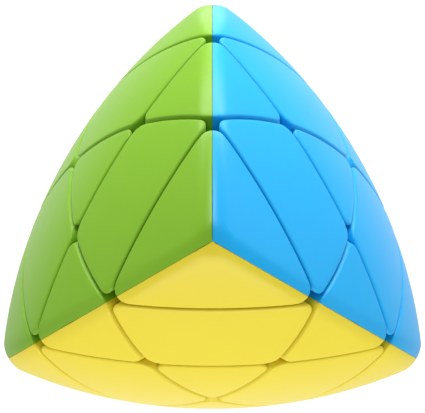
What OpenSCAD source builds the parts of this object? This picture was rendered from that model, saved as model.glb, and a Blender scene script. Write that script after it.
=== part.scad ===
// Pyramid twisty puzzle: a three-layer turning mechanism inside a bulged tetrahedron.
// All lengths are in millimetres. The origin is where the three turning axes cross.
// +Z runs from there up through the top tip, and the puzzle stands on its red face.

/* [Outer body] */
// Distance from the centre to the middle of each bulged face
face_height = 27.2; // [26.5:0.1:28.5]
// Radius of the sphere that each bulged face is part of
face_radius = 96; // [88:1:110]
// Rounding radius along the six long edges
edge_radius = 4.5; // [3.5:0.1:5.5]
// Distance from the centre to each blunted tip
tip_reach = 45.4; // [44:0.1:46]
// Thickness of the coloured covers and caps over the faces
cover_wall = 2; // [1.6:0.1:2.4]
// Thickness of the sides of the coloured covers, which run down to the foot ball
skirt_wall = 1.4; // [1:0.1:1.8]

/* [Layers] */
// Distance from the centre to each of the six turning cuts
cut = 9.5; // [9:0.1:10]
// Gap between two neighbouring pieces
gap = 0.3; // [0.2:0.05:0.4]

/* [Hidden feet] */
// Outer radius of the ball that all the hidden feet make together
foot_ball_r = 22; // [21.5:0.1:22.5]
// Radius of the round hollow inside the feet
foot_hollow_r = 14.5; // [14:0.1:15]
// How far each foot hooks in under its neighbours
hook = 2.5; // [2:0.1:3]

/* [Core] */
// Radius of the ball in the middle of the core
core_ball_r = 7.5; // [6.5:0.1:9]
// Radius of each core arm
arm_r = 3.4; // [3:0.1:3.6]
// Distance from the centre to the end of each arm
arm_reach = 13.6; // [13:0.1:13.7]

/* [Screws and springs] */
// Radius of the screw thread held in the core
thread_r = 1.25; // [1:0.05:1.3]
// Radius of the smooth shank that a centre turns on
shank_r = 1.5; // [1.45:0.01:1.5]
// Radius of the screw head
head_r = 2.7; // [2.5:0.1:2.9]
// Height of the screw head
head_h = 1.8; // [1.5:0.1:2]
// Radius of the bore that turns on the shank
bore_r = 1.58; // [1.55:0.01:1.6]
// Radius of the pocket that holds spring, washer and head
pocket_r = 3.3; // [3.1:0.1:3.5]
// Distance from the centre to the floor of that pocket
pocket_floor = 17.4; // [17:0.1:17.6]
// Radius of the spring wire
wire_r = 0.28; // [0.2:0.01:0.3]
// Radius of the spring at the middle of its wire
coil_r = 2.2; // [2.1:0.05:2.3]
// Free turns of the spring
coil_turns = 4; // [3:1:4]
// Length of the spring as fitted
spring_length = 3.6; // [3.4:0.1:4]
// Thickness of the washer under the head
washer_t = 0.5; // [0.4:0.05:0.6]

/* [Hidden] */

// The six turning axes are called x, y and z here. row_frame() tips them all onto one
// corner, so that the long diagonal through the top tip becomes +Z.
axes = [[1, 0, 0], [0, 1, 0], [0, 0, 1], [-1, 0, 0], [0, -1, 0], [0, 0, -1]];

// Directions of the four faces, from the centre outwards
green = [1, 1, -1] / sqrt(3);
blue = [1, -1, 1] / sqrt(3);
yellow = [-1, 1, 1] / sqrt(3);
red = [-1, -1, -1] / sqrt(3);

// Places of the pieces: for each axis 1 or -1 in that end's layer, 0 in the middle layer
green_blue = [1, 0, 0];
green_yellow = [0, 1, 0];
blue_yellow = [0, 0, 1];
yellow_red = [-1, 0, 0];
blue_red = [0, -1, 0];
green_red = [0, 0, -1];
top_tip = [1, 1, 1];
rear_tip = [1, -1, -1];
left_tip = [-1, 1, -1];
right_tip = [-1, -1, 1];
green_corner = [1, 1, -1];
blue_corner = [1, -1, 1];
yellow_corner = [-1, 1, 1];
red_corner = [-1, -1, -1];

green_plastic = [0.58, 0.82, 0.26];
blue_plastic = [0.20, 0.68, 0.96];
yellow_plastic = [0.96, 0.88, 0.30];
red_plastic = [0.86, 0.18, 0.20];
core_plastic = [0.20, 0.21, 0.23];
hub_plastic = [0.30, 0.31, 0.33];
steel = [0.72, 0.73, 0.75];

far = 60;                                    // past every surface of the puzzle
half_gap = gap / 2;
hidden_cut = cut - hook;                     // where the layers part inside the foot ball
face_sink = face_radius - face_height;       // how far a face sphere's centre is past the middle
core_fn = 48;
face_fn = 160;

// A long edge is rounded by a ring about the line that joins its two face spheres' centres
ring_half = face_sink * sqrt(2 / 3);                         // from that line's middle to a centre
ring_r = sqrt(pow(face_radius - edge_radius, 2) - pow(ring_half, 2));
ring_drop = face_sink / sqrt(3);                             // from the origin to the line
skirt_margin = 4;                                            // degrees by which they clear the faces
ring_lean = atan(ring_half / ring_r) - skirt_margin;         // where the sloping sides begin
ring_steps = 3;                                              // narrow cones on each side of the edge
ring_skirt = 60;                                             // length of the sloping sides

// Screws, washers and springs
seat_gap = 0.1;                              // between the pocket floor and the spring
shank_end = pocket_floor + seat_gap + spring_length + washer_t;
hole_start = 5;                              // how far from the centre the threads begin
washer_bore_r = shank_r + 0.1;
slot_w = 0.8;
slot_depth = 1;
slot_length = 1.4 * head_r;
wire_sides = 6;
turn_steps = 14;

function ring_point(angle) = [ring_r + edge_radius * cos(angle), edge_radius * sin(angle)];
function skirt_point(side) = ring_point(side * ring_lean)
  + ring_skirt * [-sin(ring_lean), side * cos(ring_lean)];

module row_frame() {
  multmatrix([
    [0, -1 / sqrt(2), 1 / sqrt(2), 0],
    [2 / sqrt(6), -1 / sqrt(6), -1 / sqrt(6), 0],
    [1 / sqrt(3), 1 / sqrt(3), 1 / sqrt(3), 0],
    [0, 0, 0, 1]
  ]) children();
}

// Turns +Z onto a direction
module along(direction) {
  rotate([0, acos(direction[2] / norm(direction)), atan2(direction[1], direction[0])]) children();
}

module half_space(direction) {
  along(direction) translate([-far, -far, 0]) cube([2 * far, 2 * far, far]);
}

// The box of one piece's place: outer and inner are the cuts it keeps outside and inside of
module place_box(place, outer, inner) {
  low = [for (s = place) s == 0 ? half_gap - inner : s > 0 ? outer + half_gap : -far];
  high = [for (s = place) s == 0 ? inner - half_gap : s > 0 ? far : -outer - half_gap];
  translate(low) cube(high - low);
}

// A ball with its poles and its seam turned away from the side that is used
module ball(radius, used_side) {
  along(used_side) rotate([90, 0, 0]) sphere(r = radius, $fn = face_fn);
}

module face_ball(face, radius) {
  translate(-face_sink * face) ball(radius, face);
}

// The body inside one rounded long edge
module rounded_edge(face_a, face_b) {
  translate(-ring_drop * (face_a + face_b) / norm(face_a + face_b))
    along(face_a - face_b)
      rotate_extrude($fn = face_fn) polygon(concat(
        [[0, skirt_point(-1)[1]], skirt_point(-1)],
        [for (i = [-ring_steps:ring_steps]) ring_point(ring_lean * i / ring_steps)],
        [skirt_point(1), [0, skirt_point(1)[1]]]
      ));
}

// One piece with its foot, not yet trimmed to the outer surface. Its sides above the foot
// ball stand in from its place by inset, which leaves room for the sides of a cover.
module piece_stock(place, inset = 0) {
  difference() {
    union() {
      difference() {
        place_box(place, cut + inset, cut - inset);
        ball(foot_ball_r + half_gap, place);
      }
      intersection() {
        place_box(place, hidden_cut, hidden_cut);
        ball(foot_ball_r - half_gap, place);
      }
      place_box(place, cut + inset, hidden_cut);
    }
    ball(foot_hollow_r, place);
  }
}

// A coloured cover: the skin and sides of one place as far as one face's colour goes
module cover(place, face, neighbours, tip = false) {
  difference() {
    intersection() {
      place_box(place, cut, cut);
      face_ball(face, face_radius);
      intersection_for(other = neighbours) intersection() {
        half_space(face - other);
        rounded_edge(face, other);
      }
      if (tip) ball(tip_reach, place);
    }
    intersection() {
      place_box(place, cut + skirt_wall, cut - skirt_wall);
      face_ball(face, face_radius - cover_wall);
      if (tip) ball(tip_reach - cover_wall, place);
    }
    ball(foot_ball_r + half_gap, place);
  }
}

module cap(place, face) {
  intersection() {
    place_box(place, cut, cut);
    difference() {
      face_ball(face, face_radius);
      face_ball(face, face_radius - cover_wall);
    }
  }
}

module corner_foot(place, face) {
  intersection() {
    piece_stock(place);
    face_ball(face, face_radius - cover_wall);
  }
}

module tip_foot(place, faces) {
  intersection() {
    piece_stock(place, skirt_wall);
    intersection_for(face = faces) face_ball(face, face_radius - cover_wall);
    ball(tip_reach - cover_wall, place);
  }
}

module edge_piece(place, face, neighbours) {
  intersection() {
    piece_stock(place);
    face_ball(face, face_radius);
    intersection_for(other = neighbours) rounded_edge(face, other);
  }
}

module centre_hub(place, faces) {
  difference() {
    intersection() {
      piece_stock(place, skirt_wall);
      intersection_for(face = faces) face_ball(face, face_radius - cover_wall);
    }
    along(place) cylinder(r = bore_r, h = far, $fn = core_fn);
    along(place) translate([0, 0, pocket_floor]) cylinder(r = pocket_r, h = far, $fn = core_fn);
  }
}

module core() {
  color(core_plastic) row_frame() difference() {
    union() {
      sphere(r = core_ball_r, $fn = core_fn);
      for (axis = axes) along(axis) cylinder(r = arm_r, h = arm_reach, $fn = core_fn);
    }
    for (axis = axes) along(axis) translate([0, 0, hole_start])
      cylinder(r = thread_r, h = far, $fn = core_fn);
  }
}

module screws() {
  color(steel) row_frame() for (axis = axes) along(axis) difference() {
    union() {
      translate([0, 0, hole_start]) cylinder(r = thread_r, h = arm_reach - hole_start, $fn = core_fn);
      translate([0, 0, arm_reach]) cylinder(r = shank_r, h = shank_end - arm_reach, $fn = core_fn);
      translate([0, 0, shank_end]) cylinder(r = head_r, h = head_h, $fn = core_fn);
    }
    for (turn = [0, 90]) rotate(turn)
      translate([-slot_length / 2, -slot_w / 2, shank_end + head_h - slot_depth])
        cube([slot_length, slot_w, head_h]);
  }
}

module washers() {
  color(steel) row_frame() for (axis = axes) along(axis)
    translate([0, 0, shank_end - washer_t]) difference() {
      cylinder(r = head_r, h = washer_t, $fn = core_fn);
      cylinder(r = washer_bore_r, h = 3 * washer_t, center = true, $fn = core_fn);
    }
}

// A coil spring swept as one skin: a ring of points at each step along the helix
function coil_point(step, side) =
  let (turn = 360 * step / turn_steps, around = 360 * side / wire_sides,
       out = coil_r + wire_r * cos(around),
       rise = (spring_length - 2 * wire_r) / (coil_turns * turn_steps))
  [out * cos(turn), out * sin(turn), wire_r + rise * step + wire_r * sin(around)];

module spring() {
  steps = coil_turns * turn_steps;
  polyhedron(
    points = [for (i = [0:steps], j = [0:wire_sides - 1]) coil_point(i, j)],
    faces = concat(
      [[for (j = [0:wire_sides - 1]) j]],
      [for (i = [0:steps - 1], j = [0:wire_sides - 1]) let (k = (j + 1) % wire_sides)
        [i * wire_sides + k, i * wire_sides + j, (i + 1) * wire_sides + j, (i + 1) * wire_sides + k]],
      [[for (j = [wire_sides - 1:-1:0]) steps * wire_sides + j]]
    )
  );
}

module springs() {
  color(steel) row_frame() for (axis = axes) along(axis)
    translate([0, 0, pocket_floor + seat_gap]) spring();
}

module green_blue_centre_hub() { color(hub_plastic) row_frame() centre_hub(green_blue, [green, blue]); }
module green_blue_centre_green_cover() {
  color(green_plastic) row_frame() cover(green_blue, green, [blue]);
}
module green_blue_centre_blue_cover() { color(blue_plastic) row_frame() cover(green_blue, blue, [green]); }

module green_yellow_centre_hub() {
  color(hub_plastic) row_frame() centre_hub(green_yellow, [green, yellow]);
}
module green_yellow_centre_green_cover() {
  color(green_plastic) row_frame() cover(green_yellow, green, [yellow]);
}
module green_yellow_centre_yellow_cover() {
  color(yellow_plastic) row_frame() cover(green_yellow, yellow, [green]);
}

module blue_yellow_centre_hub() { color(hub_plastic) row_frame() centre_hub(blue_yellow, [blue, yellow]); }
module blue_yellow_centre_blue_cover() {
  color(blue_plastic) row_frame() cover(blue_yellow, blue, [yellow]);
}
module blue_yellow_centre_yellow_cover() {
  color(yellow_plastic) row_frame() cover(blue_yellow, yellow, [blue]);
}

module green_red_centre_hub() { color(hub_plastic) row_frame() centre_hub(green_red, [green, red]); }
module green_red_centre_green_cover() { color(green_plastic) row_frame() cover(green_red, green, [red]); }
module green_red_centre_red_cover() { color(red_plastic) row_frame() cover(green_red, red, [green]); }

module blue_red_centre_hub() { color(hub_plastic) row_frame() centre_hub(blue_red, [blue, red]); }
module blue_red_centre_blue_cover() { color(blue_plastic) row_frame() cover(blue_red, blue, [red]); }
module blue_red_centre_red_cover() { color(red_plastic) row_frame() cover(blue_red, red, [blue]); }

module yellow_red_centre_hub() { color(hub_plastic) row_frame() centre_hub(yellow_red, [yellow, red]); }
module yellow_red_centre_yellow_cover() {
  color(yellow_plastic) row_frame() cover(yellow_red, yellow, [red]);
}
module yellow_red_centre_red_cover() { color(red_plastic) row_frame() cover(yellow_red, red, [yellow]); }

module top_tip_foot() { color(hub_plastic) row_frame() tip_foot(top_tip, [green, blue, yellow]); }
module top_tip_green_cover() {
  color(green_plastic) row_frame() cover(top_tip, green, [blue, yellow], true);
}
module top_tip_blue_cover() { color(blue_plastic) row_frame() cover(top_tip, blue, [green, yellow], true); }
module top_tip_yellow_cover() {
  color(yellow_plastic) row_frame() cover(top_tip, yellow, [green, blue], true);
}

module rear_tip_foot() { color(hub_plastic) row_frame() tip_foot(rear_tip, [green, blue, red]); }
module rear_tip_green_cover() {
  color(green_plastic) row_frame() cover(rear_tip, green, [blue, red], true);
}
module rear_tip_blue_cover() { color(blue_plastic) row_frame() cover(rear_tip, blue, [green, red], true); }
module rear_tip_red_cover() { color(red_plastic) row_frame() cover(rear_tip, red, [green, blue], true); }

module left_tip_foot() { color(hub_plastic) row_frame() tip_foot(left_tip, [green, yellow, red]); }
module left_tip_green_cover() {
  color(green_plastic) row_frame() cover(left_tip, green, [yellow, red], true);
}
module left_tip_yellow_cover() {
  color(yellow_plastic) row_frame() cover(left_tip, yellow, [green, red], true);
}
module left_tip_red_cover() { color(red_plastic) row_frame() cover(left_tip, red, [green, yellow], true); }

module right_tip_foot() { color(hub_plastic) row_frame() tip_foot(right_tip, [blue, yellow, red]); }
module right_tip_blue_cover() {
  color(blue_plastic) row_frame() cover(right_tip, blue, [yellow, red], true);
}
module right_tip_yellow_cover() {
  color(yellow_plastic) row_frame() cover(right_tip, yellow, [blue, red], true);
}
module right_tip_red_cover() { color(red_plastic) row_frame() cover(right_tip, red, [blue, yellow], true); }

module green_corner_foot() { color(green_plastic) row_frame() corner_foot(green_corner, green); }
module green_corner_cap() { color(green_plastic) row_frame() cap(green_corner, green); }
module blue_corner_foot() { color(blue_plastic) row_frame() corner_foot(blue_corner, blue); }
module blue_corner_cap() { color(blue_plastic) row_frame() cap(blue_corner, blue); }
module yellow_corner_foot() { color(yellow_plastic) row_frame() corner_foot(yellow_corner, yellow); }
module yellow_corner_cap() { color(yellow_plastic) row_frame() cap(yellow_corner, yellow); }
module red_corner_foot() { color(red_plastic) row_frame() corner_foot(red_corner, red); }
module red_corner_cap() { color(red_plastic) row_frame() cap(red_corner, red); }

module green_edge_top() { color(green_plastic) row_frame() edge_piece([1, 1, 0], green, [blue, yellow]); }
module green_edge_rear() { color(green_plastic) row_frame() edge_piece([1, 0, -1], green, [blue, red]); }
module green_edge_left() { color(green_plastic) row_frame() edge_piece([0, 1, -1], green, [yellow, red]); }
module blue_edge_top() { color(blue_plastic) row_frame() edge_piece([1, 0, 1], blue, [green, yellow]); }
module blue_edge_rear() { color(blue_plastic) row_frame() edge_piece([1, -1, 0], blue, [green, red]); }
module blue_edge_right() { color(blue_plastic) row_frame() edge_piece([0, -1, 1], blue, [yellow, red]); }
module yellow_edge_top() { color(yellow_plastic) row_frame() edge_piece([0, 1, 1], yellow, [green, blue]); }
module yellow_edge_left() {
  color(yellow_plastic) row_frame() edge_piece([-1, 1, 0], yellow, [green, red]);
}
module yellow_edge_right() {
  color(yellow_plastic) row_frame() edge_piece([-1, 0, 1], yellow, [blue, red]);
}
module red_edge_rear() { color(red_plastic) row_frame() edge_piece([0, -1, -1], red, [green, blue]); }
module red_edge_left() { color(red_plastic) row_frame() edge_piece([-1, 0, -1], red, [green, yellow]); }
module red_edge_right() { color(red_plastic) row_frame() edge_piece([-1, -1, 0], red, [blue, yellow]); }

core();
screws();
springs();
washers();
green_blue_centre_hub();
green_blue_centre_green_cover();
green_blue_centre_blue_cover();
green_yellow_centre_hub();
green_yellow_centre_green_cover();
green_yellow_centre_yellow_cover();
blue_yellow_centre_hub();
blue_yellow_centre_blue_cover();
blue_yellow_centre_yellow_cover();
green_red_centre_hub();
green_red_centre_green_cover();
green_red_centre_red_cover();
blue_red_centre_hub();
blue_red_centre_blue_cover();
blue_red_centre_red_cover();
yellow_red_centre_hub();
yellow_red_centre_yellow_cover();
yellow_red_centre_red_cover();
top_tip_foot();
top_tip_green_cover();
top_tip_blue_cover();
top_tip_yellow_cover();
rear_tip_foot();
rear_tip_green_cover();
rear_tip_blue_cover();
rear_tip_red_cover();
left_tip_foot();
left_tip_green_cover();
left_tip_yellow_cover();
left_tip_red_cover();
right_tip_foot();
right_tip_blue_cover();
right_tip_yellow_cover();
right_tip_red_cover();
green_corner_foot();
green_corner_cap();
blue_corner_foot();
blue_corner_cap();
yellow_corner_foot();
yellow_corner_cap();
red_corner_foot();
red_corner_cap();
green_edge_top();
green_edge_rear();
green_edge_left();
blue_edge_top();
blue_edge_rear();
blue_edge_right();
yellow_edge_top();
yellow_edge_left();
yellow_edge_right();
red_edge_rear();
red_edge_left();
red_edge_right();
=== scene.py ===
import math
import bpy
import bmesh
import numpy as np
from mathutils import Matrix, Vector


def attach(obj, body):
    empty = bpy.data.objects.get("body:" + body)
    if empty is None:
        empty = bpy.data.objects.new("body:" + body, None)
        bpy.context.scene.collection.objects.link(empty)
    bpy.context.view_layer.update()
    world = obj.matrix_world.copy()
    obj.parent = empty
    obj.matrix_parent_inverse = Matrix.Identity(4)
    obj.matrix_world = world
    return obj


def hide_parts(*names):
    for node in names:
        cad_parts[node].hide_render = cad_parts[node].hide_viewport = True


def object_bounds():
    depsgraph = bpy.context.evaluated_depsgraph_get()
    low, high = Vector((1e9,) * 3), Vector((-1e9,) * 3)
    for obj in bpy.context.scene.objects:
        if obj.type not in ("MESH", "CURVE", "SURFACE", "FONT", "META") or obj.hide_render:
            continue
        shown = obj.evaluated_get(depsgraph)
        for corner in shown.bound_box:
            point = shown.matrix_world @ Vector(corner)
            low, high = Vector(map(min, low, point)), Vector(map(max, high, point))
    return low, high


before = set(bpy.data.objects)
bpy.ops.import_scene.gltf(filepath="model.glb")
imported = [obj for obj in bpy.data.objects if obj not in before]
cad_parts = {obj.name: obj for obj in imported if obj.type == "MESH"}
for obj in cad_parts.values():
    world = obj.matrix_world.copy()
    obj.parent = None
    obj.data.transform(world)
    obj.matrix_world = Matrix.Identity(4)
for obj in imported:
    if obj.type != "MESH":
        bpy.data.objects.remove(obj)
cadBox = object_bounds()
mm = 0.001

# While a piece is being shaped, the six turning axes are x, y and z, in millimetres.
# toRow tips them all, so that the diagonal through the top tip becomes +Z.
toRow = Matrix((
    (0, -1 / math.sqrt(2), 1 / math.sqrt(2)),
    (2 / math.sqrt(6), -1 / math.sqrt(6), -1 / math.sqrt(6)),
    (1 / math.sqrt(3), 1 / math.sqrt(3), 1 / math.sqrt(3)),
))
faces = {
    "green": Vector((1, 1, -1)).normalized(),
    "blue": Vector((1, -1, 1)).normalized(),
    "yellow": Vector((-1, 1, 1)).normalized(),
    "red": Vector((-1, -1, -1)).normalized(),
}
# each tip lies opposite the one face that doesn't reach it
oppositeFace = {"top": "red", "rear": "yellow", "left": "blue", "right": "green"}

body = {
    "faceHeight": -cadBox[0][2] / mm,
    "faceRadius": 96.0,
    "edgeRound": 4.5,      # along the long edges
    "tipRound": 4.9,       # at the tips
    "blendStart": 38.0,    # distances from the centre between which one becomes the other
    "blendEnd": 44.5,
    "tipReach": 45.35,     # where the tips are blunted
    "tipBlend": 0.8,
}
layers = {
    "cut": 9.5,            # turning cuts, from the centre
    "hiddenCut": 7.0,      # the same cuts among the feet
    "halfGap": 0.2,
    "footBall": 22.0,      # all the feet together make a hollow ball
    "footHollow": 14.5,
}
piece = {
    "cornerRound": 2.2,    # between two sides of a piece
    "ridgeRound": 3.2,     # the same at a cover's corners on a long edge
    "rimRound": 0.45,      # from the top surface down into a gap
    "footRound": 0.8,
    "arcSteps": 8,
    "sideSteps": 18,
    "rimSteps": 4,
    "topRings": 16,
    "innerRings": 6,
    "sharpAngle": 28,      # degrees between two faces, from which their edge isn't smoothed
}
cover = {"wall": 2.0, "skirt": 1.4, "innerRound": 0.3, "seamBevel": 0.15}
# how points are moved onto a surface, and how near counts as the same place
solving = {"steps": 14, "startReach": 60.0, "weld": 1e-4, "onSeam": 1e-2, "onBall": 1e-6}


# The outside of the puzzle. Four balls, one behind each face, overlap in a bulged tetrahedron.
# Shrunk by the rounding radius and swollen again, it gets rounded edges and tips.
sink = body["faceRadius"] - body["faceHeight"]
ballCentres = [np.array(-sink * n) for n in faces.values()]
tipSigns = [np.array(-n * math.sqrt(3)) for n in faces.values()]


def outside(points):
    # how far points lie outside the body, and its slope there
    reach = np.linalg.norm(points, axis=1)
    t = np.clip((reach - body["blendStart"]) / (body["blendEnd"] - body["blendStart"]), 0, 1)
    rounding = body["edgeRound"] + (body["tipRound"] - body["edgeRound"]) * t * t * (3 - 2 * t)
    ball = (body["faceRadius"] - rounding)[:, None]
    # the nearest point is on one ball, on the circle where two meet, or at a corner of three
    feet = []
    for i, a in enumerate(ballCentres):
        away = points - a
        feet.append(a + away * ball / np.linalg.norm(away, axis=1, keepdims=True))
        for b in ballCentres[i + 1:]:
            axis = (b - a) / np.linalg.norm(b - a)
            half = np.linalg.norm(b - a) / 2
            away = points - (a + b) / 2
            away = away - (away @ axis)[:, None] * axis
            ring = np.sqrt(ball ** 2 - half ** 2)
            feet.append((a + b) / 2 + away * ring / np.linalg.norm(away, axis=1, keepdims=True))
    slope = 2 * sink / math.sqrt(3)
    corner = (-slope + np.sqrt(slope ** 2 + 12 * (ball ** 2 - sink ** 2))) / 6
    feet.extend(corner * sign for sign in tipSigns)
    best = np.full(len(points), np.inf)
    nearest = np.zeros_like(points)
    for foot in feet:
        inside = np.ones(len(points), bool)
        for a in ballCentres:
            inside &= np.linalg.norm(foot - a, axis=1) <= ball[:, 0] + solving["onBall"]
        distance = np.linalg.norm(points - foot, axis=1)
        better = inside & (distance < best)
        best[better] = distance[better]
        nearest[better] = foot[better]
    within = np.ones(len(points), bool)
    for a in ballCentres:
        within &= np.linalg.norm(points - a, axis=1) < ball[:, 0]
    signed = np.where(within, -best, best)
    height, slope = signed - rounding, (points - nearest) / signed[:, None]
    # the tips are blunted by one more ball, and blended into it
    past, blend = reach - body["tipReach"], body["tipBlend"]
    share = np.clip(0.5 + (height - past) / (2 * blend), 0, 1)
    height = past + (height - past) * share + blend * share * (1 - share)
    slope = points / reach[:, None] * (1 - share)[:, None] + slope * share[:, None]
    return height, slope / np.linalg.norm(slope, axis=1, keepdims=True)


def ballOf(radius):
    def surface(points):
        reach = np.linalg.norm(points, axis=1)
        return reach - radius, points / reach[:, None]
    return surface


def settle(points, free, surface, level):
    # moves points along their free axes until they lie that far outside the surface
    points = points.copy()
    for _ in range(solving["steps"]):
        value, slope = surface(points)
        slope = slope * free
        points -= slope * ((value - level) / (slope ** 2).sum(axis=1))[:, None]
    return points


# The sides of a piece's place, in order round it: axis, position, and which way is inward
def sidesOf(place, outer, inner):
    gap = layers["halfGap"]
    ends = {i: (i, s * (outer + gap), s) for i, s in enumerate(place) if s}
    slabs = [i for i, s in enumerate(place) if not s]
    highs = [(i, inner - gap, -1) for i in slabs]
    lows = [(i, gap - inner, 1) for i in slabs]
    if len(slabs) == 1:
        a, b = ends.values()
        return [highs[0], a, lows[0], b]
    return list(ends.values()) if not slabs else highs + lows


def outline(place, outer, inner, inset, rounds, surface, level):
    # a closed loop of points on the surface, inset from the sides, and the way each side faces;
    # rounds holds the radius of most corners and of those where both sides face the same sign
    sides = sidesOf(place, outer, inner)
    arcSteps, sideSteps = piece["arcSteps"], piece["sideSteps"]
    arcs, arcNormals, arcFree = [], [], []
    for k, (a, atA, inA) in enumerate(sides):
        b, atB, inB = sides[(k + 1) % len(sides)]
        c = 3 - a - b
        corner = rounds[1] if inA == inB else rounds[0]
        for turn in np.linspace(0, math.pi / 2, arcSteps + 1):
            point, normal, free = np.zeros(3), np.zeros(3), np.zeros(3)
            point[a] = atA + inA * (corner - (corner - inset) * math.cos(turn))
            point[b] = atB + inB * (corner - (corner - inset) * math.sin(turn))
            point[c] = place[c] * body["blendEnd"]
            normal[a], normal[b] = -inA * math.cos(turn), -inB * math.sin(turn)
            free[c] = 1
            arcs.append(point)
            arcNormals.append(normal)
            arcFree.append(free)
    arcs = settle(np.array(arcs), np.array(arcFree), surface, level)
    points, normals, free = [], [], []
    for k in range(len(sides)):
        b, atB, inB = sides[(k + 1) % len(sides)]
        first = k * (arcSteps + 1)
        start, end = arcs[first + arcSteps], arcs[(first + arcSteps + 1) % len(arcs)]
        points.extend(arcs[first:first + arcSteps + 1])
        normals.extend(arcNormals[first:first + arcSteps + 1])
        free.extend(arcFree[first:first + arcSteps + 1])
        for t in np.linspace(0, 1, sideSteps + 1)[1:-1]:
            normal, loose = np.zeros(3), np.ones(3)
            normal[b], loose[b] = -inB, 0
            points.append(start + (end - start) * t)
            normals.append(normal)
            free.append(loose)
    points = settle(np.array(points), np.array(free), surface, level)
    return points, np.array(normals)


def between(n0, n1, t):
    # unit directions part of the way round from n0 to n1
    angle = np.arccos(np.clip((n0 * n1).sum(axis=1), -1, 1))[:, None]
    return (n0 * np.sin((1 - t) * angle) + n1 * np.sin(t * angle)) / np.sin(angle)


def alongRays(points, surface, level):
    # the surface's points in the same directions from the centre
    rays = points / np.linalg.norm(points, axis=1, keepdims=True)
    reach = np.full(len(rays), solving["startReach"])
    for _ in range(solving["steps"]):
        value, slope = surface(rays * reach[:, None])
        reach -= (value - level) / (slope * rays).sum(axis=1)
    return rays * reach[:, None]


def ringsTo(loop, surface, level, count):
    # rings from the middle of a patch out to its loop
    middle = alongRays(loop.mean(axis=0)[None], surface, level)
    steps = np.linspace(0, 1, count + 1)[:-1]
    return [alongRays(middle + (loop - middle) * t, surface, level) for t in steps]


def topRows(place, rounds):
    # the visible surface of a piece and its rounded rim, down to the start of its sides
    cut, rim = layers["cut"], piece["rimRound"]
    spine, sideNormals = outline(place, cut, cut, rim, rounds, outside, -rim)
    topNormals = outside(spine)[1]
    loop = spine + rim * topNormals
    rows = ringsTo(loop, outside, 0, piece["topRings"])
    for k in range(piece["rimSteps"] + 1):
        rows.append(spine + rim * between(topNormals, sideNormals, k / piece["rimSteps"]))
    return rows


def sideRow(place, outer, inner, rounds, surface, level=0):
    return outline(place, outer, inner, 0, rounds, surface, level)[0]


def skin(rows):
    # a grid sheet bent onto the rows, and welded where it meets itself
    bm = bmesh.new()
    columns = len(rows[0])
    bmesh.ops.create_grid(bm, x_segments=columns, y_segments=len(rows) - 1, size=1)
    for v in bm.verts:
        column = round((v.co.x + 1) / 2 * columns) % columns
        row = round((v.co.y + 1) / 2 * (len(rows) - 1))
        v.co = rows[row][column]
    bmesh.ops.remove_doubles(bm, verts=bm.verts, dist=solving["weld"])
    bmesh.ops.recalc_face_normals(bm, faces=bm.faces)
    return bm


plainRounds = (piece["cornerRound"], piece["cornerRound"])
coverRounds = (piece["cornerRound"], piece["ridgeRound"])


def footRows(place):
    # below the foot ball: the neck, then the foot that hooks under the neighbours
    cut, hidden = layers["cut"], layers["hiddenCut"]
    above = ballOf(layers["footBall"] + layers["halfGap"])
    below = ballOf(layers["footBall"] - layers["halfGap"])
    hollow = ballOf(layers["footHollow"])
    soft = (piece["footRound"],) * 2
    rows = [
        sideRow(place, cut, cut, plainRounds, above),
        sideRow(place, cut, hidden, soft, above),
        sideRow(place, cut, hidden, soft, below),
        sideRow(place, hidden, hidden, soft, below),
        sideRow(place, hidden, hidden, soft, hollow),
    ]
    rows += reversed(ringsTo(rows[-1], hollow, 0, piece["innerRings"]))
    return rows


def wholePiece(place):
    return skin(topRows(place, plainRounds) + footRows(place))


def capPiece(place):
    cut, wall = layers["cut"], cover["wall"]
    rows = topRows(place, plainRounds)
    rows.append(sideRow(place, cut, cut, plainRounds, outside, -wall))
    rows += reversed(ringsTo(rows[-1], outside, -wall, piece["innerRings"]))
    return skin(rows)


def capFoot(place):
    cut, wall = layers["cut"], cover["wall"]
    loop = sideRow(place, cut, cut, plainRounds, outside, -wall)
    return skin(ringsTo(loop, outside, -wall, piece["innerRings"]) + [loop] + footRows(place))


def coverShell(place):
    # a cup: the piece's skin, open towards the foot
    cut, skirt, wall = layers["cut"], cover["skirt"], cover["wall"]
    above = ballOf(layers["footBall"] + layers["halfGap"])
    soft = (cover["innerRound"],) * 2
    rows = topRows(place, coverRounds)
    rows.append(sideRow(place, cut, cut, coverRounds, above))
    rows.append(sideRow(place, cut + skirt, cut - skirt, soft, above))
    rows.append(sideRow(place, cut + skirt, cut - skirt, soft, outside, -wall))
    rows += reversed(ringsTo(rows[-1], outside, -wall, piece["innerRings"]))
    return skin(rows)


def colourPart(shell, colour, colours):
    # the part of a cover nearest one face, closed along the seams and with its seams softened
    bm = shell.copy()
    others = [faces[c] for c in colours if c != colour]
    wrong = [f for f in bm.faces
             if any(f.calc_center_median().dot(faces[colour] - n) < 0 for n in others)]
    bmesh.ops.delete(bm, geom=wrong, context="FACES")
    rim = [e for e in bm.edges if e.is_boundary]
    if len(others) == 2:
        axis = (others[0] + others[1] + faces[colour]).normalized()
        onAxis = [v for v in {v for e in rim for v in e.verts}
                  if (v.co - axis * v.co.dot(axis)).length < solving["onSeam"]]
        rim.append(bm.edges.new(onAxis))
    seams = []
    for n in others:
        across = (faces[colour] - n).normalized()
        loop = [e for e in rim if all(abs(v.co.dot(across)) < solving["onSeam"] for v in e.verts)]
        seams += bmesh.ops.contextual_create(bm, geom=loop)["faces"]
    visible = []
    for face in seams:
        for e in face.edges:
            depths = outside(np.array([v.co for v in e.verts]))[0]
            if not all(f in seams for f in e.link_faces) and depths.min() > -cover["wall"] / 2:
                visible.append(e)
    bmesh.ops.bevel(bm, geom=visible, affect="EDGES", offset=cover["seamBevel"], offset_type="OFFSET",
                    segments=2, profile=0.5, material=-1)
    bmesh.ops.recalc_face_normals(bm, faces=bm.faces)
    return bm


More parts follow.
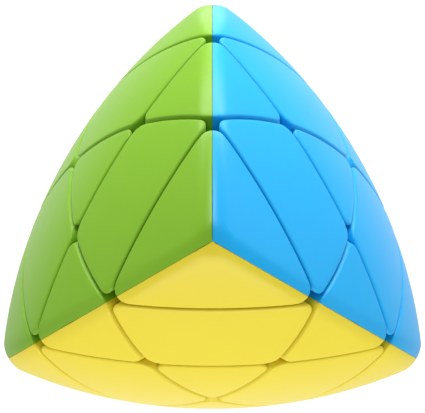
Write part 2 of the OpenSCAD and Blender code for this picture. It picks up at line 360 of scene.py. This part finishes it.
def turnTo(first, second, newFirst, newSecond):
    # the turn that takes two faces of the tetrahedron to two others
    def basis(a, b):
        return Matrix((faces[a], faces[b], faces[a].cross(faces[b]))).transposed()
    return basis(newFirst, newSecond) @ basis(first, second).inverted()


def colourAfter(turn, colour):
    return max(faces, key=lambda c: faces[c].dot(turn @ faces[colour]))


def hexColour(text):
    channels = [int(text[i:i + 2], 16) / 255 for i in (0, 2, 4)]
    linear = [c / 12.92 if c <= 0.04045 else ((c + 0.055) / 1.055) ** 2.4 for c in channels]
    return (*linear, 1)


def addNode(tree, kind, settings=None, inputs=None, links=None):
    node = tree.nodes.new(kind)
    for name, value in (settings or {}).items():
        setattr(node, name, value)
    for name, value in (inputs or {}).items():
        node.inputs[name].default_value = value
    for name, socket in (links or {}).items():
        tree.links.new(socket, node.inputs[name])
    return node


plasticLook = {
    "ior": 1.42,
    "mottle": 14 * mm,     # size of the faint unevenness in the colour
    "grain": 0.35 * mm,    # size of the mould's fine texture
    "grainDepth": 0.01 * mm,
    "grainStrength": 0.12,
    "roughSpread": 0.03,
    # painted shade: the plastic's colour is darkened in the gaps, where other plastic is as near as this
    "gapShadeReach": 1.2 * mm,
    "unshadedFrom": 0.75,
    "darkest": 0.45,
}


def mouldedPlastic(name, light, dark, rough):
    material = bpy.data.materials.new(name)
    material.use_nodes = True
    tree = material.node_tree
    shader = tree.nodes["Principled BSDF"]
    where = addNode(tree, "ShaderNodeTexCoord").outputs["Object"]
    look = plasticLook
    mottle = addNode(tree, "ShaderNodeTexNoise", inputs={"Scale": 1 / look["mottle"], "Detail": 2.0},
                     links={"Vector": where})
    shade = addNode(tree, "ShaderNodeMix", {"data_type": "RGBA"},
                    links={"Factor": mottle.outputs["Fac"]})
    shade.inputs[6].default_value, shade.inputs[7].default_value = hexColour(dark), hexColour(light)
    # painted shade: the colour darkens where other plastic is near, in the gaps between pieces and at
    # the seams
    openness = addNode(tree, "ShaderNodeAmbientOcclusion", {"samples": 8},
                       {"Distance": look["gapShadeReach"]})
    gapShade = addNode(tree, "ShaderNodeMapRange",
                    inputs={"From Max": look["unshadedFrom"], "To Min": look["darkest"]},
                    links={"Value": openness.outputs["AO"]})
    shadedInGaps = addNode(tree, "ShaderNodeMix", {"data_type": "RGBA", "blend_type": "MULTIPLY"},
                    {"Factor": 1.0}, {6: shade.outputs[2], 7: gapShade.outputs["Result"]})
    grain = addNode(tree, "ShaderNodeTexNoise", inputs={"Scale": 1 / look["grain"], "Detail": 3.0},
                    links={"Vector": where})
    spread = look["roughSpread"]
    polish = addNode(tree, "ShaderNodeMapRange",
                     inputs={"To Min": rough - spread, "To Max": rough + spread},
                     links={"Value": grain.outputs["Fac"]})
    bump = addNode(tree, "ShaderNodeBump",
                   inputs={"Strength": look["grainStrength"], "Distance": look["grainDepth"]},
                   links={"Height": grain.outputs["Fac"]})
    tree.links.new(shadedInGaps.outputs[2], shader.inputs["Base Color"])
    tree.links.new(polish.outputs["Result"], shader.inputs["Roughness"])
    tree.links.new(bump.outputs["Normal"], shader.inputs["Normal"])
    shader.inputs["IOR"].default_value = look["ior"]
    return material


# injection moulded ABS, coloured right through, from a finely textured mould
outerRough = 0.34
plastics = {
    "green": mouldedPlastic("moulded ABS green", "86be2a", "82ba28", outerRough),
    "blue": mouldedPlastic("moulded ABS blue", "1cbaff", "1ab5fc", outerRough),
    "yellow": mouldedPlastic("moulded ABS yellow", "f8e43c", "f5e03a", outerRough),
    "red": mouldedPlastic("moulded ABS red", "e02a2c", "d92629", outerRough),
}


def addPiece(name, bm, turn, rides, nodes, material):
    mesh = bpy.data.meshes.new(name)
    bm.to_mesh(mesh)
    mesh.transform((toRow @ turn * mm).to_4x4())
    mesh.polygons.foreach_set("use_smooth", [True] * len(mesh.polygons))
    mesh.set_sharp_from_angle(angle=math.radians(piece["sharpAngle"]))
    mesh.materials.append(material)
    obj = bpy.data.objects.new(name, mesh)
    bpy.context.scene.collection.objects.link(obj)
    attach(obj, rides)
    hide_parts(*nodes)
    return obj


def nameOf(*words):
    return words[0] + "".join(w.capitalize() for w in words[1:])


colours = list(faces)

# Twelve edge pieces, three on each face
edgeShape = wholePiece((0, 1, 1))
for colour in colours:
    for tip, opposite in oppositeFace.items():
        if opposite != colour:
            turn = turnTo("yellow", "red", colour, opposite)
            node = f"{colour}_edge_{tip}"
            addPiece(nameOf(colour, "edge", tip), edgeShape, turn, node, [node],
                     plastics[colour])
print("edge pieces made")

# Four face corners, each a cap on a foot
capShape, capFootShape = capPiece((1, 1, -1)), capFoot((1, 1, -1))
for colour in colours:
    second = next(c for c in colours if c != colour)
    turn = turnTo("green", "blue", colour, second)
    rides = colour + "_corner"
    addPiece(nameOf(colour, "corner", "cap"), capShape, turn, rides, [rides + "_cap"],
             plastics[colour])
    addPiece(nameOf(colour, "corner", "foot"), capFootShape, turn, rides, [rides + "_foot"],
             plastics[colour])
print("face corners made")

# Six centres, each with a cover of two colours
centreShell = coverShell((1, 0, 0))
centreParts = {c: colourPart(centreShell, c, ("green", "blue")) for c in ("green", "blue")}
for i, first in enumerate(colours):
    for second in colours[i + 1:]:
        turn = turnTo("green", "blue", first, second)
        rides = f"{first}_{second}_centre"
        for part, bm in centreParts.items():
            colour = colourAfter(turn, part)
            addPiece(nameOf(first, second, "centre", colour, "cover"), bm, turn, rides,
                     [f"{rides}_{colour}_cover"], plastics[colour])
print("centre covers made")

# Four tips, each with a cover of three colours
tipShell = coverShell((1, 1, 1))
tipParts = {c: colourPart(tipShell, c, ("green", "blue", "yellow")) for c in ("green", "blue", "yellow")}
for tip, opposite in oppositeFace.items():
    second = next(c for c in colours if c != opposite)
    turn = turnTo("red", "green", opposite, second)
    rides = tip + "_tip"
    for part, bm in tipParts.items():
        colour = colourAfter(turn, part)
        addPiece(nameOf(tip, "tip", colour, "cover"), bm, turn, rides,
                 [f"{rides}_{colour}_cover"], plastics[colour])
print("tip covers made")

# injection moulded nylon, left matt
innerPlastic = mouldedPlastic("moulded nylon dark grey", "4a4c50", "424448", 0.5)

steelLook = {"rough": 0.3, "roughSpread": 0.06, "wear": 0.8 * mm}


def platedSteel(name):
    material = bpy.data.materials.new(name)
    material.use_nodes = True
    tree = material.node_tree
    shader = tree.nodes["Principled BSDF"]
    where = addNode(tree, "ShaderNodeTexCoord").outputs["Object"]
    wear = addNode(tree, "ShaderNodeTexNoise", inputs={"Scale": 1 / steelLook["wear"], "Detail": 3.0},
                   links={"Vector": where})
    rough, spread = steelLook["rough"], steelLook["roughSpread"]
    polish = addNode(tree, "ShaderNodeMapRange",
                     inputs={"To Min": rough - spread, "To Max": rough + spread},
                     links={"Value": wear.outputs["Fac"]})
    tree.links.new(polish.outputs["Result"], shader.inputs["Roughness"])
    shader.inputs["Base Color"].default_value = hexColour("c3c5c9")
    shader.inputs["Metallic"].default_value = 1
    return material


# drawn wire, turned screws and stamped washers, all zinc plated
steel = platedSteel("zinc plated steel")
metalNodes = ("screws", "springs", "washers")
for name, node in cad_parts.items():
    if name in metalNodes or name == "core" or name.endswith(("_hub", "tip_foot")):
        node.data.materials.clear()
        node.data.materials.append(steel if name in metalNodes else innerPlastic)
print("inner parts given materials")

# Floor, light and camera
stage = {
    "floorSize": 4.0,
    "cameraUp": 3.0,       # far off, so that nearly no perspective is left
    "across": 77.8 * mm,   # what the view's width covers at the centre of the puzzle
    "aimY": 6.25 * mm,
    "sky": 0.34,
    "paperRough": 0.9,
    "nearGlow": 0.7,       # how much of the floor's glow the plastic mirrors from close by
    "nearReach": 45 * mm,
    "farReach": 75 * mm,   # by here it mirrors none
}
floorMesh = bpy.data.meshes.new("floor")
floorGrid = bmesh.new()
bmesh.ops.create_grid(floorGrid, x_segments=1, y_segments=1, size=stage["floorSize"] / 2)
bmesh.ops.translate(floorGrid, verts=floorGrid.verts, vec=(0, 0, cadBox[0][2]))
floorGrid.to_mesh(floorMesh)
floor = bpy.data.objects.new("floor", floorMesh)
bpy.context.scene.collection.objects.link(floor)
paper = bpy.data.materials.new("matt white paper")
paper.use_nodes = True
paperTree = paper.node_tree
paperShader = paperTree.nodes["Principled BSDF"]
paperShader.inputs["Base Color"].default_value = hexColour("606060")
paperShader.inputs["Roughness"].default_value = stage["paperRough"]
# painted reflection: the floor glows and lights the puzzle from below, but the plastic's shine shows its
# glow only close by, fading out further away
spot = addNode(paperTree, "ShaderNodeTexCoord").outputs["Object"]
away = addNode(paperTree, "ShaderNodeVectorMath", {"operation": "LENGTH"}, links={0: spot})
dimming = addNode(paperTree, "ShaderNodeMapRange",
                  inputs={"From Min": stage["nearReach"], "From Max": stage["farReach"],
                          "To Min": 1 - stage["nearGlow"]},
                  links={"Value": away.outputs["Value"]})
glossyRay = addNode(paperTree, "ShaderNodeLightPath").outputs["Is Glossy Ray"]
dimmed = addNode(paperTree, "ShaderNodeMath", {"operation": "MULTIPLY"},
                 links={0: dimming.outputs["Result"], 1: glossyRay})
glow = addNode(paperTree, "ShaderNodeMath", {"operation": "SUBTRACT"}, {0: 1.0}, {1: dimmed.outputs[0]})
paperShader.inputs["Emission Color"].default_value = (1, 1, 1, 1)
paperTree.links.new(glow.outputs[0], paperShader.inputs["Emission Strength"])
floorMesh.materials.append(paper)

world = bpy.data.worlds.new("studio")
bpy.context.scene.world = world
world.use_nodes = True
world.node_tree.nodes["Background"].inputs["Color"].default_value = (1, 1, 1, 1)
world.node_tree.nodes["Background"].inputs["Strength"].default_value = stage["sky"]


def softLight(name, place, size, watts, mirrored=True, lit=True, aim=(0, 0, 0)):
    # mirrored: it shows in the plastic's shine; lit: it lights the plastic
    lamp = bpy.data.lights.new(name, "AREA")
    lamp.shape = "RECTANGLE"
    lamp.size, lamp.size_y = size
    lamp.energy = watts
    obj = bpy.data.objects.new(name, lamp)
    obj.location = place
    obj.rotation_euler = (Vector(aim) - Vector(place)).to_track_quat("-Z", "Y").to_euler()
    obj.visible_camera = False
    obj.visible_glossy = mirrored
    obj.visible_diffuse = lit
    bpy.context.scene.collection.objects.link(obj)


softLight("keySoftbox", (0, 0.6, 0.42), size=(0.3, 0.3), watts=2.3)
softLight("rearStrip", (0, 0.16, 0.0), size=(0.24, 0.06), watts=0.2)
softLight("rearGlint", (0, 0.082, -0.026), size=(0.02, 0.064), watts=0.005, lit=False, aim=(0, 0.082, 1))
softLight("leftStrip", (-0.5, 0.3, 0.0), size=(0.5, 0.1), watts=0.7, mirrored=False)
softLight("rightStrip", (0.5, 0.3, 0.0), size=(0.5, 0.1), watts=0.7, mirrored=False)
softLight("frontSoftbox", (0, -0.7, 0.2), size=(0.8, 0.8), watts=4.4)

camera = bpy.data.cameras.new("camera")
camera.sensor_width = 36
camera.lens = camera.sensor_width * stage["cameraUp"] / stage["across"]
cameraObject = bpy.data.objects.new("camera", camera)
cameraObject.location = (0, stage["aimY"], stage["cameraUp"])
bpy.context.scene.collection.objects.link(cameraObject)
bpy.context.scene.camera = cameraObject
bpy.context.scene.view_settings.view_transform = "Standard"
print("floor, light and camera made")
